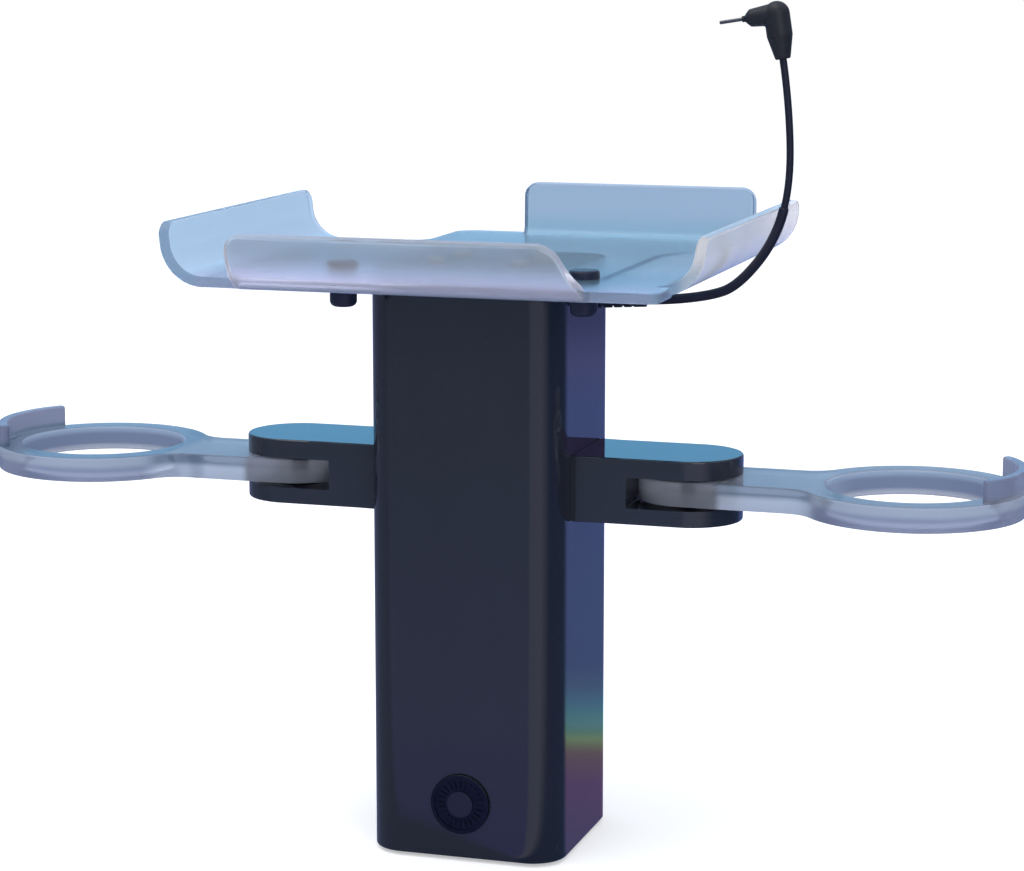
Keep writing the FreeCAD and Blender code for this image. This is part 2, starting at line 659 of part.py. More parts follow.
def gland_nut():
    nut = cylinder(GLAND_NUT_R, GLAND_NUT_T, V(INNER_HALF, 0, LEAD_Z), -X_AXIS)
    return nut.cut(cylinder(GLAND_BARREL_R + SCREW_GAP, GLAND_NUT_T, V(INNER_HALF, 0, LEAD_Z), -X_AXIS))


def strain_relief(path):
    x0 = HALF + GLAND_FLANGE
    sleeve = Part.makeCone(BOOT_R0, BOOT_R1, BOOT_LENGTH, V(x0, 0, LEAD_Z), X_AXIS)
    grooves = []
    for i in range(4):
        x = x0 + 4.0 + 4.0 * i
        ring = cylinder(BOOT_R0 + 1, 1.2, V(x, 0, LEAD_Z), X_AXIS)
        grooves.append(ring.cut(cylinder(LEAD_R + 0.75, 1.2, V(x, 0, LEAD_Z), X_AXIS)))
    sleeve = sleeve.cut(grooves)
    return sleeve.cut(swept_tube(path, LEAD_R + LEAD_GAP))


# Angled plug, drawn upright at the lead's end and then leant over with it

def plug_place(shape):
    end = V(*LEAD_ROUTE[-1])
    moved = shape.copy()
    moved.translate(end)
    moved.rotate(end, Y_AXIS, -PLUG_TILT)
    return moved


def plug_body():
    z = PLUG_BOOT + PLUG_BODY_H
    boot = Part.makeCone(PLUG_BOOT_R, PLUG_NECK_R, PLUG_BOOT, V(0, 0, 0), Z_AXIS)
    neck = cylinder(PLUG_NECK_R, PLUG_BODY_H, V(0, 0, PLUG_BOOT))
    elbow = Part.makeSphere(PLUG_NECK_R, V(0, 0, z))
    straight = PLUG_HEAD_REACH - PLUG_NOSE_TAPER
    head = Part.makeCone(PLUG_HEAD_R, PLUG_NOSE_R, straight, V(0, 0, z), -X_AXIS)
    nose = Part.makeCone(PLUG_NOSE_R, PLUG_COLLAR_R, PLUG_NOSE_TAPER, V(-straight, 0, z), -X_AXIS)
    return plug_place(boot.fuse([neck, elbow, head, nose]).removeSplitter())


def plug_collar():
    ring = cylinder(PLUG_COLLAR_R, PLUG_COLLAR_T, V(-PLUG_HEAD_REACH, 0, PLUG_BOOT + PLUG_BODY_H), -X_AXIS)
    return plug_place(ring)


def plug_pin():
    x = -(PLUG_HEAD_REACH + PLUG_COLLAR_T)
    pin = cylinder(PLUG_PIN_R, PLUG_PIN_LENGTH, V(x, 0, PLUG_BOOT + PLUG_BODY_H), -X_AXIS)
    tip = [e for e in pin.Edges if e.BoundBox.XMax < x - PLUG_PIN_LENGTH + 0.01]
    return plug_place(pin.makeChamfer(0.25, tip))


# Supply parts

def board_points():
    x = BOARD_W / 2 - BOARD_INSET
    z0 = BOARD_Z0 + BOARD_INSET
    z1 = BOARD_Z0 + BOARD_H - BOARD_INSET
    return [(-x, z0), (x, z0), (x, z1), (-x, z1)]


def power_board():
    y1 = INNER_HALF - BOARD_BACK_GAP
    board = box(-BOARD_W / 2, BOARD_W / 2, y1 - BOARD_T, y1, BOARD_Z0, BOARD_Z0 + BOARD_H)
    chip_z = BOARD_Z0 + BOARD_H / 2
    chip = box(-CHIP[0] / 2, CHIP[0] / 2, y1 - BOARD_T - CHIP[1], y1 - BOARD_T, chip_z - CHIP[2] / 2,
               chip_z + CHIP[2] / 2)
    coil = cylinder(COIL[0], COIL[1], V(0, y1 - BOARD_T, chip_z + COIL[2]), -Y_AXIS)
    wide, deep, high = SOCKET
    socket = box(-wide / 2, wide / 2, y1 - BOARD_T - deep, y1 - BOARD_T, BOARD_Z0 + SOCKET_UP,
                 BOARD_Z0 + SOCKET_UP + high)
    board = board.fuse([chip, coil, socket]).removeSplitter()
    holes = [cylinder(SPACER_HOLE_R, BOARD_T + 2, V(x, y1 + 1, z), -Y_AXIS) for x, z in board_points()]
    return board.cut(holes)


def board_spacers():
    spacers = []
    for x, z in board_points():
        post = cylinder(SPACER_R, BOARD_BACK_GAP, V(x, INNER_HALF, z), -Y_AXIS)
        spacers.append(post.cut(cylinder(SPACER_HOLE_R, BOARD_BACK_GAP, V(x, INNER_HALF, z), -Y_AXIS)))
    return spacers


def board_screws():
    y = INNER_HALF - BOARD_BACK_GAP - BOARD_T
    screws = []
    for x, z in board_points():
        head = cylinder(BOARD_HEAD_R, BOARD_HEAD_H, V(x, y, z), -Y_AXIS)
        shank = cylinder(BOARD_SCREW_R, BOARD_T + BOARD_BACK_GAP + 1, V(x, y, z), Y_AXIS)
        screws.append(head.fuse(shank).removeSplitter())
    return screws


def inlet_socket():
    flange = cylinder(INLET_FLANGE_R, INLET_FLANGE_T, V(0, HALF, INLET_Z), Y_AXIS)
    rim = [e for e in flange.Edges if e.BoundBox.YMin > HALF + INLET_FLANGE_T - 0.01]
    flange = flange.makeFillet(0.6, rim)
    body = cylinder(INLET_R, INLET_LENGTH, V(0, HALF, INLET_Z), -Y_AXIS)
    whole = flange.fuse(body).removeSplitter()
    mouth = cylinder(INLET_BORE_R, INLET_BORE_DEPTH, V(0, HALF + INLET_FLANGE_T, INLET_Z), -Y_AXIS)
    return whole.cut(mouth)


def inlet_nut():
    nut = cylinder(INLET_FLANGE_R, INLET_NUT_T, V(0, INNER_HALF, INLET_Z), -Y_AXIS)
    return nut.cut(cylinder(INLET_R + SCREW_GAP, INLET_NUT_T, V(0, INNER_HALF, INLET_Z), -Y_AXIS))


def build():
    os.makedirs("parts", exist_ok=True)
    save("column_tube", column_tube())
    save("base_plate", base_plate())
    save("base_screws", *base_screws())
    save("rubber_feet", *rubber_feet())
    save("ballast_block", ballast_block())
    save("ballast_screws", *ballast_screws())
    save("top_plate", top_plate())
    save("top_screws", *top_screws())
    save("tray", tray())
    save("tray_screws", *tray_screws())
    save("stop_screws", *stop_screws())
    save("stop_nuts", *stop_nuts())
    save("medallion", medallion())
    for name, side in (("left", -1), ("right", 1)):
        save("bracket_%s" % name, bracket(side))
        save("bracket_screws_%s" % name, *bracket_screws(side))
        save("pivot_pin_%s" % name, pivot_pin(side))
        save("lower_washer_%s" % name, pivot_washer(side, SLOT_Z0, LOWER_WASHER))
        save("upper_washer_%s" % name, pivot_washer(side, SLOT_Z1 - UPPER_WASHER, UPPER_WASHER))
        save("arm_%s" % name, arm(side))
    save("cable_gland", cable_gland())
    save("gland_nut", gland_nut())
    path = lead_path()
    save("lead", lead(path))
    save("strain_relief", strain_relief(path))
    save("lead_sleeve", lead_sleeve(path))
    save("plug_body", plug_body())
    save("plug_collar", plug_collar())
    save("plug_pin", plug_pin())
    save("power_board", power_board())
    save("board_spacers", *board_spacers())
    save("board_screws", *board_screws())
    save("inlet_socket", inlet_socket())
    save("inlet_nut", inlet_nut())


build()
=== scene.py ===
import json
import math

import bmesh
import bpy
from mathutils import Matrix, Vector
from mathutils.kdtree import KDTree


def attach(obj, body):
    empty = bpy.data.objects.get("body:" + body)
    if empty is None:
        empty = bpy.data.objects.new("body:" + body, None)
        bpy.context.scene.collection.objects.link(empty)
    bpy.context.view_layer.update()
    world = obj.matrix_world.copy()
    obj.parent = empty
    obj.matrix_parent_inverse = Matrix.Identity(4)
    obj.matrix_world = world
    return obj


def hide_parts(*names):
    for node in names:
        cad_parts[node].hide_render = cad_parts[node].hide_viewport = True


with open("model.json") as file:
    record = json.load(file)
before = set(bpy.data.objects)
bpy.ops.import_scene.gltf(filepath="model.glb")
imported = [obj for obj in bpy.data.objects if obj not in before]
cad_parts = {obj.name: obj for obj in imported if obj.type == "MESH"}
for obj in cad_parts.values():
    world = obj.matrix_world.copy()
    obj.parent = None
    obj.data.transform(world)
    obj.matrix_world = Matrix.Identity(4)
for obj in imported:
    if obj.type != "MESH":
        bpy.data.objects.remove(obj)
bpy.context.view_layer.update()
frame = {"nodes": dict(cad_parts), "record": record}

# Headset stand in a plain white studio. Sizes are millimetres, as in the part's own source.
# They become metres where a mesh is made and where a finish compares places.

MM = 0.001

# Sizes of the pieces that are dressed here; a pair is a low and a high place
COLUMN_HALF, COLUMN_CORNER, COLUMN_WALL = 40.0, 14.0, 3.0
COLUMN_Z = (1.5, 234.0)
COLUMN_FOOT_RIM, COLUMN_HEAD_RIM = 0.8, 0.3
MEDAL_Z, MEDAL_MIDDLE = 24.0, (5.0, 5.6)
BRACKET_HALF, BRACKET_Z = 21.0, (137.7, 164.1)
SLOT_START, SLOT_Z, SLOT_RIM = 62.2, (144.3, 156.5), 0.6
PIVOT_X = 83.0
PIN_HEAD_R, PIN_HEAD_DEPTH = 5.1, 3.6
ARM_Z = (145.8, 155.8)
ARM_HUB_R, ARM_BORE_R = 20.5, 3.05
RING_X, RING_R, RING_HOLE_R = 171.5, 44.0, 33.5
NECK_BLEND = 14.0
LIP_TOP, LIP_THICK, LIP_HALF_ANGLE = 164.6, 4.2, 38.0
RIM = 0.9
CUT_PAST = 5.0
SHEET, TRAY_Z, TRAY_RIM = 4.0, 234.0, 0.7
FLOOR_RIGHT, FLOOR_CORNER = 92.0, 5.0
FLAP_CORNER, FRONT_TAPER = 6.0, 10.0
FRONT_SPAN, REAR_SPAN = (-70.0, 66.0), (-18.0, 84.0)
RIGHT_WING_FRONT, RIGHT_RELIEF_R, LEFT_WING_REAR = -65.0, 1.5, 61.0
NOTCH_REAR, NOTCH_CORNERS, NOTCH_R = 108.0, ((-40.0, 99.0), (-58.0, 70.0)), 9.0
# Place of the painted shade line across the tray's floor
SHADE_LINE_X, SHADE_LINE_SHIFT = 60.6, 13.0
TRAY_SCREWS, TRAY_SCREW_HOLE_R = ((-17.0, -16.0), (-17.0, 16.0), (17.0, -16.0), (17.0, 16.0)), 2.2
STOPS, STOP_HOLE_R = ((-44.0, -50.0), (53.2, -50.0)), 2.7
LEAD_R, SLEEVE_R = 1.45, 1.95
SLEEVE_START, SLEEVE_TOP = 63.5, 262.0
SLEEVE_ROLL = ((0.25, 1.9), (0.5, 1.78), (0.62, 1.6), (0.64, 1.45))
LEAD_ROUTE = [(38.5, 0.0, 223.7), (66.0, 0.0, 223.8), (89.6, 0.3, 226.5), (101.3, 0.5, 231.1),
              (115.6, 0.6, 249.1), (121.5, 0.4, 271.2), (120.3, 0.1, 302.6), (117.7, 0.0, 319.0)]
PLUG_END = Vector((117.7, 0.0, 319.0))
PLUG_TILT = math.radians(9.0)
PLUG_BOOT, PLUG_BOOT_R, PLUG_NECK, PLUG_NECK_R = 9.0, 3.0, 8.3, 5.0
PLUG_REACH, PLUG_HEAD_R, PLUG_NOSE, PLUG_NOSE_R, PLUG_TIP_R = 12.6, 4.5, 1.9, 3.3, 1.2
PLUG_GRAIN = 0.28
VIEW_AZIMUTH, VIEW_ELEVATION, VIEW_DISTANCE = 17.5, 9.9, 1.16835
VIEW_TARGET = Vector((0.00891, 0.0, 0.16704))
FOCAL_PIXELS, PICTURE_PIXELS, SENSOR = 2900.0, 1024.0, 36.0


# Finishes

class Value:
    """A socket that varies over a surface. Arithmetic on it adds Math nodes."""

    def __init__(self, finish, socket):
        self.finish = finish
        self.socket = socket

    def _math(self, operation, first, second):
        return self.finish.node("ShaderNodeMath", {"operation": operation}, {0: first, 1: second})

    def __add__(self, other):
        return self._math("ADD", self, other)

    def __radd__(self, other):
        return self._math("ADD", other, self)

    def __sub__(self, other):
        return self._math("SUBTRACT", self, other)

    def __rsub__(self, other):
        return self._math("SUBTRACT", other, self)

    def __mul__(self, other):
        return self._math("MULTIPLY", self, other)

    def __rmul__(self, other):
        return self._math("MULTIPLY", other, self)

    def __truediv__(self, other):
        return self._math("DIVIDE", self, other)

    def __neg__(self):
        return 0.0 - self

    def __abs__(self):
        return self.finish.node("ShaderNodeMath", {"operation": "ABSOLUTE"}, {0: self})


class Finish:
    """Node tree of a material or of the world, with one method for any node."""

    def __init__(self, holder):
        self.holder = holder
        holder.use_nodes = True
        self.tree = holder.node_tree
        self.tree.nodes.clear()

    def node(self, kind, settings=None, inputs=None, output=0):
        """Adds a node and gives one of its outputs. The setting "stops" fills a colour ramp."""
        made = self.tree.nodes.new(kind)
        for key, value in (settings or {}).items():
            if key == "stops":
                ramp = made.color_ramp
                while len(ramp.elements) > 1:
                    ramp.elements.remove(ramp.elements[-1])
                for i, (place, colour) in enumerate(value):
                    stop = ramp.elements[0] if i == 0 else ramp.elements.new(place)
                    stop.position = place
                    stop.color = (*colour, 1.0)
            else:
                setattr(made, key, value)
        for key, value in (inputs or {}).items():
            socket = made.inputs[key]
            if isinstance(value, Value):
                self.tree.links.new(value.socket, socket)
            elif isinstance(value, (tuple, list)) and socket.type == "RGBA" and len(value) == 3:
                socket.default_value = (*value, 1.0)
            else:
                socket.default_value = value
        return Value(self, made.outputs[output]) if len(made.outputs) else None

    def mix(self, factor, first, second):
        return self.node("ShaderNodeMix", {"data_type": "RGBA"},
                         {0: factor, 6: first, 7: second}, output=2)

    def place(self):
        """Object coordinates, which are metres in the part's own frame."""
        return self.node("ShaderNodeTexCoord", output=3)

    def axes(self, vector):
        """The vector's three parts."""
        split = self.node("ShaderNodeSeparateXYZ", inputs={0: vector})
        return [Value(self, s) for s in split.socket.node.outputs]

    def noise(self, scale, detail=3.0, roughness=0.5, stretch=(1, 1, 1)):
        spread = self.node("ShaderNodeMapping",
                           inputs={"Vector": self.place(), "Scale": stretch})
        return self.node("ShaderNodeTexNoise", inputs={
            "Vector": spread, "Scale": scale, "Detail": detail, "Roughness": roughness})

    def step(self, value, low, high):
        """0 below low, 1 above high, smooth between."""
        return self.node("ShaderNodeMapRange", {"interpolation_type": "SMOOTHSTEP"},
                         {0: value, 1: low, 2: high, 3: 0.0, 4: 1.0})

    def band(self, value, low, high):
        """The same step for a place, between two others in millimetres."""
        return self.step(value, low * MM, high * MM)

    def length(self, x, y, z):
        joined = self.node("ShaderNodeCombineXYZ", inputs={0: x, 1: y, 2: z})
        return self.node("ShaderNodeVectorMath", {"operation": "LENGTH"}, {0: joined}, output=1)

    def ramp(self, place, stops):
        return self.node("ShaderNodeValToRGB", {"stops": stops}, {0: place})

    def rays(self):
        """Rays that a surface mirrors, and rays that come straight or through a clear piece."""
        outputs = self.node("ShaderNodeLightPath").socket.node.outputs
        through = Value(self, outputs["Is Transmission Ray"])
        mirrored_rays = Value(self, outputs["Is Glossy Ray"]) * (1 - through)
        return mirrored_rays, Value(self, outputs["Is Camera Ray"]) + through

    def bump(self, height, strength, distance):
        return self.node("ShaderNodeBump",
                         inputs={"Height": height, "Strength": strength, "Distance": distance})

    def surface(self, base, roughness, normal=None, **constants):
        inputs = {"Base Color": base, "Roughness": roughness}
        if normal is not None:
            inputs["Normal"] = normal
        inputs.update({key.replace("_", " "): value for key, value in constants.items()})
        shader = self.node("ShaderNodeBsdfPrincipled", inputs=inputs)
        self.node("ShaderNodeOutputMaterial", inputs={"Surface": shader})
        return self.holder


def finish(name):
    return Finish(bpy.data.materials.new(name))


def gloss_lacquer(name, base, haze):
    """Deep black gloss with faint wipe marks and a trace of orange peel."""
    f = finish(name)
    wipes = f.noise(30.0, 4.0, 0.6, (1.0, 1.0, 0.25))
    dust = f.step(f.noise(900.0, 2.0, 0.5), 0.68, 0.78)
    streaked = f.mix(wipes, base, tuple(v * 1.35 for v in base))
    colour = f.mix(dust * 0.05, streaked, (0.3, 0.3, 0.32))
    rough = wipes * haze + 0.025 + dust * 0.1
    peel = f.bump(f.noise(260.0, 2.0, 0.5), 0.01, 0.0002)
    return f.surface(colour, rough, peel, IOR=1.5)


def clear_acrylic(name):
    """Polished tinted acrylic, with painted highlights and painted shade in bands along its edges
    and sides.
    """
    f = finish(name)
    x, y, z = f.axes(f.place())
    low, top = ARM_Z
    across = abs(x)
    from_ring = f.length(across - RING_X * MM, y, 0.0)
    cloud = f.noise(40.0, 3.0, 0.6)

    # Painted light and shade on the side walls: the outer rim lighter above this height, the neck
    # lighter below it
    upper = f.band(z + cloud * MM, low + 5.0, low + 7.8)
    rim = f.mix(upper, (0.27, 0.31, 0.46), (0.43, 0.50, 0.62))
    neck = f.mix(upper, (0.52, 0.60, 0.76), (0.20, 0.26, 0.36))
    # Painted shade: the hub is darker, as if shaded inside the bracket's slot
    hub = f.mix(upper, (0.21, 0.23, 0.28), (0.17, 0.18, 0.22))
    # Painted highlights and shade in the ring's hole: pale low down, dark in the middle, light blue
    # near the top
    bore = f.mix(f.band(z, low + 1.0, low + 3.2), (0.60, 0.65, 0.76), (0.17, 0.22, 0.34))
    bore = f.mix(f.band(z, top - 3.3, top - 1.0), bore, (0.27, 0.37, 0.52))
    sides = f.mix(f.band(across, 134.0, 141.0), neck, rim)
    sides = f.mix(f.band(across, 97.0, 101.0), hub, sides)
    sides = f.mix(f.band(-from_ring, -RING_HOLE_R - 0.8, -RING_HOLE_R - 0.3), sides, bore)

    face = f.mix(cloud, (0.26, 0.28, 0.34), (0.23, 0.26, 0.32))
    # Painted shade: the left ring's faces darker than the right's
    face = f.mix(f.band(-x, 130.0, 136.0), face, (0.16, 0.23, 0.32))
    # Painted light: the lip above the face is lighter and bluer
    face = f.mix(f.band(z, top + 0.2, top + 2.7), face, (0.28, 0.32, 0.46))
    colour = f.mix(f.band(z, top - 0.35, top - 0.1), sides, face)

    marks = f.step(f.noise(420.0, 3.0, 0.6, (1.0, 0.12, 1.0)), 0.6, 0.75)
    in_slot = 1 - f.band(across, PIVOT_X + 5.0, PIVOT_X + BRACKET_HALF)
    rough = marks * 0.06 + 0.16 + in_slot * 0.35
    return f.surface(colour, rough, None, IOR=1.15, Transmission_Weight=0.55)


def frosted_sheet(name, tint, deep):
    """Softly frosted sheet with painted light and shade: a greyer front flap, pale low down, a
    darker rear flap, a near-white right wing, a painted shade line across its floor and painted
    highlights on its cut edge.
    """
    f = finish(name)
    x, y, z = f.axes(f.place())
    top = TRAY_Z + SHEET
    cloud = f.noise(14.0, 3.0, 0.5)
    grain = f.noise(1400.0, 2.0, 0.6)

    walls = f.mix(cloud * 0.4, tint, deep)
    # Painted shade: the rear flap darker and bluer
    walls = f.mix(f.band(y, 100.0, 104.0), walls, (0.35, 0.48, 0.65))
    # Painted light: the right wing near white
    right = f.band(x, FLOOR_RIGHT, FLOOR_RIGHT + 6.0)
    walls = f.mix(right, walls, (0.98, 0.98, 1.0))

    # Painted shade: a thin dark line across the floor, with the floor painted lighter to its right
    line = x - SHADE_LINE_X * MM - f.band(y, 30.0, 66.0) * (SHADE_LINE_SHIFT * MM)
    shade_line = (1 - f.band(abs(line), 0.8, 2.6)) * f.band(-y, -60.0, -40.0) * f.band(y, -56.0, -50.0)
    bed = f.mix(f.band(line, 0.0, 12.0), (0.28, 0.46, 0.62), (0.36, 0.53, 0.71))
    bed = f.mix(shade_line, bed, (0.05, 0.10, 0.20))
    # Painted light: the floor lighter and lavender towards the front flap
    bed = f.mix(f.band(-y, 56.0, 88.0), bed, (0.52, 0.58, 0.80))

    # Painted light and shade on the front flap: grey above, pale lavender low down
    front = f.band(-y, 93.5, 97.5)
    grey = f.mix(f.band(z, top + 3.0, top + 13.0), (0.82, 0.81, 0.93), (0.54, 0.58, 0.64))
    flat = (1 - f.band(z, top + 0.5, top + 12.0)) * (1 - f.band(abs(x), 86.0, 94.0))
    colour = f.mix(front, f.mix(flat, walls, bed), grey)

    # Painted highlight on the cut edge, but not where the mark runs on over the floor's large faces
    edge = f.node("ShaderNodeAttribute", {"attribute_name": "cut_edge"}, output=2)
    level = f.band(z, top - 0.9, top - 0.3) * (1 - f.band(z, top + 0.3, top + 1.2))
    glow = edge * (1 - level) * f.band(z, TRAY_Z + 0.1, TRAY_Z + 0.6)
    colour = f.mix(glow * (front * 0.6 + right * 0.4 + 0.1), colour, (0.93, 0.95, 1.0))
    return f.surface(colour, grain * 0.06 + 0.16, f.bump(grain, 0.03, 0.0001),
                     IOR=1.25, Transmission_Weight=0.8)


def moulded_rubber(name, base, roughness=0.42):
    """Dull moulded surface, slightly mottled."""
    f = finish(name)
    mottle = f.noise(220.0, 3.0, 0.6)
    grain = f.bump(f.noise(2600.0, 2.0, 0.5), 0.12, 0.00008)
    colour = f.mix(mottle, base, tuple(v * 1.6 for v in base))
    return f.surface(colour, mottle * 0.12 + roughness, grain, Specular_IOR_Level=0.3)


def turned_metal(name, base, roughness=0.28):
    """Machined metal with fine turning lines."""
    f = finish(name)
    lines = f.noise(1800.0, 2.0, 0.5, (1.0, 1.0, 8.0))
    tarnish = f.noise(120.0, 3.0, 0.6)
    colour = f.mix(tarnish * 0.5, base, tuple(v * 0.6 for v in base))
    return f.surface(colour, lines * 0.15 + roughness, f.bump(lines, 0.15, 0.00005), Metallic=1.0)


def dark_medal(name):
    """Dark struck metal whose plain middle is brighter than its ribbed ring."""
    f = finish(name)
    x, _, z = f.axes(f.place())
    middle = 1 - f.band(f.length(x, 0.0, z - MEDAL_Z * MM), *MEDAL_MIDDLE)
    wear = f.noise(300.0, 3.0, 0.6)
    ring = f.mix(wear, (0.012, 0.015, 0.022), (0.03, 0.034, 0.045))
    colour = f.mix(middle, ring, (0.05, 0.055, 0.06))
    return f.surface(colour, wear * 0.15 + 0.32, f.bump(wear, 0.1, 0.00005), Metallic=1.0)


def satin_coat(name, base, roughness=0.45, gloss=0.5):
    """Fine satin paint or plastic."""
    f = finish(name)
    speck = f.noise(1200.0, 2.0, 0.5)
    cloud = f.noise(60.0, 3.0, 0.5)
    colour = f.mix(cloud, base, tuple(v * 1.3 for v in base))
    return f.surface(colour, speck * 0.15 + roughness, f.bump(speck, 0.1, 0.00006),
                     Specular_IOR_Level=gloss)


def laminate(name):
    """Circuit board: green resist with a faint weave and pale tracks."""
    f = finish(name)
    weave = f.noise(900.0, 1.0, 0.5)
    tracks = f.node("ShaderNodeTexBrick",
                    inputs={"Vector": f.place(), "Scale": 90.0, "Mortar Size": 0.03}, output=1)
    colour = f.mix(tracks * 0.6, (0.02, 0.13, 0.06), (0.06, 0.26, 0.12))
    return f.surface(colour, weave * 0.2 + 0.35)


finishes = {
    "column_gloss": gloss_lacquer("column_gloss", (0.010, 0.012, 0.019), 0.02),
    "bracket_gloss": gloss_lacquer("bracket_gloss", (0.012, 0.015, 0.023), 0.03),
    "black_sheet": satin_coat("black_sheet", (0.03, 0.03, 0.035)),
    "black_steel": turned_metal("black_steel", (0.10, 0.10, 0.11), 0.4),
    "screw_steel": turned_metal("screw_steel", (0.55, 0.56, 0.58)),
    "stop_dark": satin_coat("stop_dark", (0.010, 0.014, 0.032), 0.25, 0.22),
    "foot_rubber": moulded_rubber("foot_rubber", (0.03, 0.03, 0.03), 0.6),
    "ballast_iron": satin_coat("ballast_iron", (0.14, 0.14, 0.15), 0.6),
    "tray_acrylic": frosted_sheet("tray_acrylic", (0.48, 0.65, 0.84), (0.44, 0.61, 0.81)),
    "arm_acrylic": clear_acrylic("arm_acrylic"),
    "medal_metal": dark_medal("medal_metal"),
    "washer_nylon": satin_coat("washer_nylon", (0.03, 0.03, 0.035)),
    "gland_plastic": satin_coat("gland_plastic", (0.025, 0.025, 0.03)),
    "lead_rubber": moulded_rubber("lead_rubber", (0.004, 0.005, 0.016), 0.42),
    "plug_rubber": moulded_rubber("plug_rubber", (0.009, 0.010, 0.015), 0.42),
    "pin_steel": turned_metal("pin_steel", (0.12, 0.12, 0.14), 0.3),
    "board_laminate": laminate("board_laminate"),
    "spacer_brass": turned_metal("spacer_brass", (0.7, 0.5, 0.2)),
}
slot_of = {row["node"]: row["material_slot"] for row in frame["record"]["subparts"]}

for node, piece in frame["nodes"].items():
    piece.data.materials.clear()
    piece.data.materials.append(finishes[slot_of[node]])
    piece.data.shade_smooth()
    piece.data.set_sharp_from_angle(angle=math.radians(28))


# Mesh tools

def add_piece(name, mesh, slot, body, node):
    """Object that takes the CAD node's place, with its finish, and moves with the body."""
    piece = bpy.data.objects.new(name, mesh)
    bpy.context.scene.collection.objects.link(piece)
    mesh.materials.clear()
    mesh.materials.append(finishes[slot])
    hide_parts(node)
    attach(piece, body)
    return piece


def smooth(mesh, angle=35.0):
    """Smooth shading, with the edges sharper than the angle kept sharp."""
    mesh.shade_smooth()
    mesh.set_sharp_from_angle(angle=math.radians(angle))


def mesh_of(name, points, faces):
    """Mesh in metres from points in millimetres, with its faces turned outwards."""
    mesh = bpy.data.meshes.new(name)
    mesh.from_pydata([tuple(c * MM for c in p) for p in points], [], faces)
    work = bmesh.new()
    work.from_mesh(mesh)
    bmesh.ops.remove_doubles(work, verts=work.verts, dist=1e-7)
    bmesh.ops.recalc_face_normals(work, faces=work.faces)
    work.to_mesh(mesh)
    work.free()
    return mesh


def applied(piece):
    """The piece's mesh with its modifiers worked in, and the modifiers gone."""
    shaped = piece.evaluated_get(bpy.context.evaluated_depsgraph_get())
    mesh = bpy.data.meshes.new_from_object(shaped)
    piece.modifiers.clear()
    piece.data = mesh
    return mesh


def bevel(piece, width, angle):
    """Rounds the edges that are sharper than the angle."""
    rim = piece.modifiers.new("rim", "BEVEL")
    rim.width = width * MM
    rim.segments = 3
    rim.limit_method = "ANGLE"
    rim.angle_limit = math.radians(angle)
    rim.use_clamp_overlap = False
    rim.miter_outer = "MITER_ARC"


def even_normals(piece):
    even = piece.modifiers.new("even", "WEIGHTED_NORMAL")
    even.keep_sharp = True


def arc(cx, cy, radius, start, end, steps):
    """Points of an arc from start to end in degrees, both ends included."""
    found = []
    for i in range(steps + 1):
        a = math.radians(start + (end - start) * i / steps)
        found.append((cx + radius * math.cos(a), cy + radius * math.sin(a)))
    return found


def rounded_square(half, radius, steps=14):
    c = half - radius
    loop = []
    for cx, cy, start in ((c, c, 0), (-c, c, 90), (-c, -c, 180), (c, -c, 270)):
        loop += arc(cx, cy, radius, start, start + 90, steps)
    return loop


def inset(loop, distance):
    """The closed loop moved inwards; it runs anticlockwise."""
    moved = []
    count = len(loop)
    for i, (x, y) in enumerate(loop):
        ax, ay = loop[i - 1]
        bx, by = loop[(i + 1) % count]
        tx, ty = bx - ax, by - ay
        length = math.hypot(tx, ty)
        moved.append((x - ty / length * distance, y + tx / length * distance))
    return moved


def skin(rings, closed):
    """Quads between loops of equal length, and round from the last to the first if closed."""
    points, faces = [], []
    count = len(rings[0])
    for ring in rings:
        points += ring
    turns = len(rings) if closed else len(rings) - 1
    for r in range(turns):
        a, b = r * count, (r + 1) % len(rings) * count
        for i in range(count):
            j = (i + 1) % count
            faces.append((a + i, a + j, b + j, b + i))
    return points, faces


def lifted(loop, z):
    return [(x, y, z) for x, y in loop]


def rounded_rims(loop, low, high, soft, steps=3):
    """Loops from the underside to the top of a slab whose two rims are rounded."""
    rings = []
    for i in range(steps + 1):
        a = math.pi / 2 * i / steps
        rings.append(lifted(inset(loop, soft * (1 - math.sin(a))), low + soft * (1 - math.cos(a))))
    for i in range(steps + 1):
        a = math.pi / 2 * i / steps
        rings.append(lifted(inset(loop, soft * (1 - math.cos(a))), high - soft * (1 - math.sin(a))))
    return rings


def capped(name, rings):
    """Closed mesh over the rings, with a face on the first and on the last."""
    points, faces = skin(rings, False)
    count = len(rings[0])
    last = (len(rings) - 1) * count
    faces.append(tuple(range(count))[::-1])
    faces.append(tuple(last + i for i in range(count)))
    return mesh_of(name, points, faces)


def slab(name, loop, low, high, soft):
    """Closed slab with rounded rims; its loop runs anticlockwise."""
    return capped(name, rounded_rims(loop, low, high, soft))


def combine(first, second, operation):
    """Boolean of two pieces; the second is used up."""
    act = first.modifiers.new("cut", "BOOLEAN")
    act.operation = operation
    act.solver = "EXACT"
    act.object = second
    applied(first)
    bpy.data.objects.remove(second)


def drill(piece, x, y, radius, sides, low, high):
    """Cuts a round upright hole."""
    step = 360 // sides
    loop = arc(x, y, radius, 0, 360 - step, sides - 1)
    combine(piece, loose("drill", slab("drill", loop, low, high, 0.05)), "DIFFERENCE")


def loose(name, mesh):
    piece = bpy.data.objects.new(name, mesh)
    bpy.context.scene.collection.objects.link(piece)
    return piece


